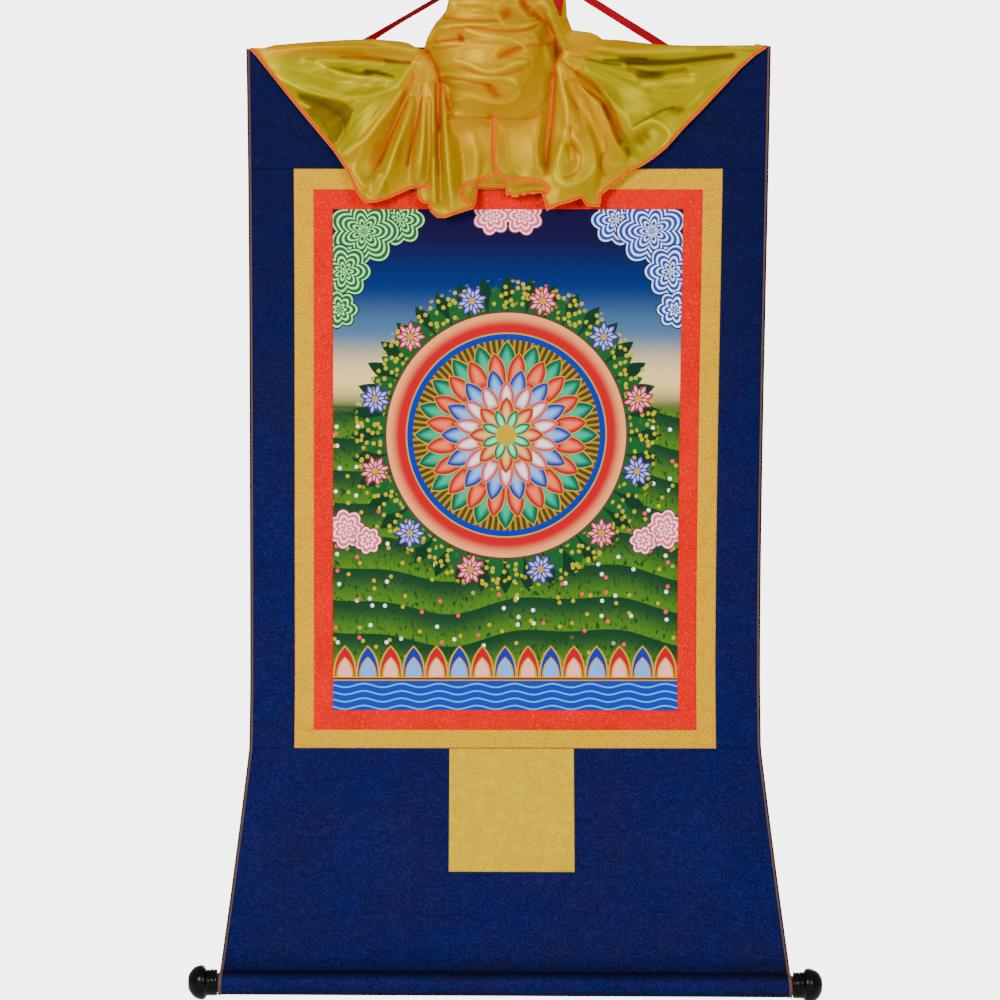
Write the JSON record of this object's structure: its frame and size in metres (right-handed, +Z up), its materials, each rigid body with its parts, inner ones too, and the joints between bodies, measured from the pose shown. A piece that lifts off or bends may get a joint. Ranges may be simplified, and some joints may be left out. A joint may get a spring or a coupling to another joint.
{
  "type": "thangka scroll painting with its hanging batten, roller and silk veil",
  "caption": "Hanging scroll: a printed panel framed in brocade strips on a flared cloth, with a roller, turned knobs, a hanging ribbon and a gathered silk veil.",
  "frame": {"origin": "the top of the hanging ribbon, on its middle line, where it goes over a hook", "axes": "+Z is up, the picture faces -Y, and +X is to the right as one looks at the picture"},
  "size_m": [0.565, 0.0498, 0.9346],
  "materials": {
    "navy_brocade": "dark blue tone-on-tone brocade",
    "gold_brocade": "warm gold scroll brocade",
    "door_brocade": "pale olive gold brocade",
    "red_brocade": "orange red speckled brocade",
    "picture": "printed cloth with a slight sheen",
    "piping": "brown satin piping",
    "wood": "dark plain wood",
    "lacquer": "black lacquered turned wood",
    "red_ribbon": "dark red flat ribbon",
    "yellow_silk": "thin yellow satin with an orange overlocked hem"
  },
  "bodies": {
    "root": {"heading_panel": "navy_brocade", "side_panel_left": "navy_brocade", "side_panel_right": "navy_brocade", "foot_panel": "navy_brocade", "gold_strip_top": "gold_brocade", "gold_strip_bottom": "gold_brocade", "gold_strip_left": "gold_brocade", "gold_strip_right": "gold_brocade", "red_strip_top": "red_brocade", "red_strip_bottom": "red_brocade", "red_strip_left": "red_brocade", "red_strip_right": "red_brocade", "picture_panel": "picture", "door_patch": "door_brocade", "piping_left": "piping", "piping_right": "piping", "top_batten": "wood", "roller_rod": "wood", "knob_left": "lacquer", "knob_right": "lacquer", "hanging_ribbon": "red_ribbon", "red_ribbon_tail": "red_ribbon", "veil": "yellow_silk"}
  },
  "joints": []
}
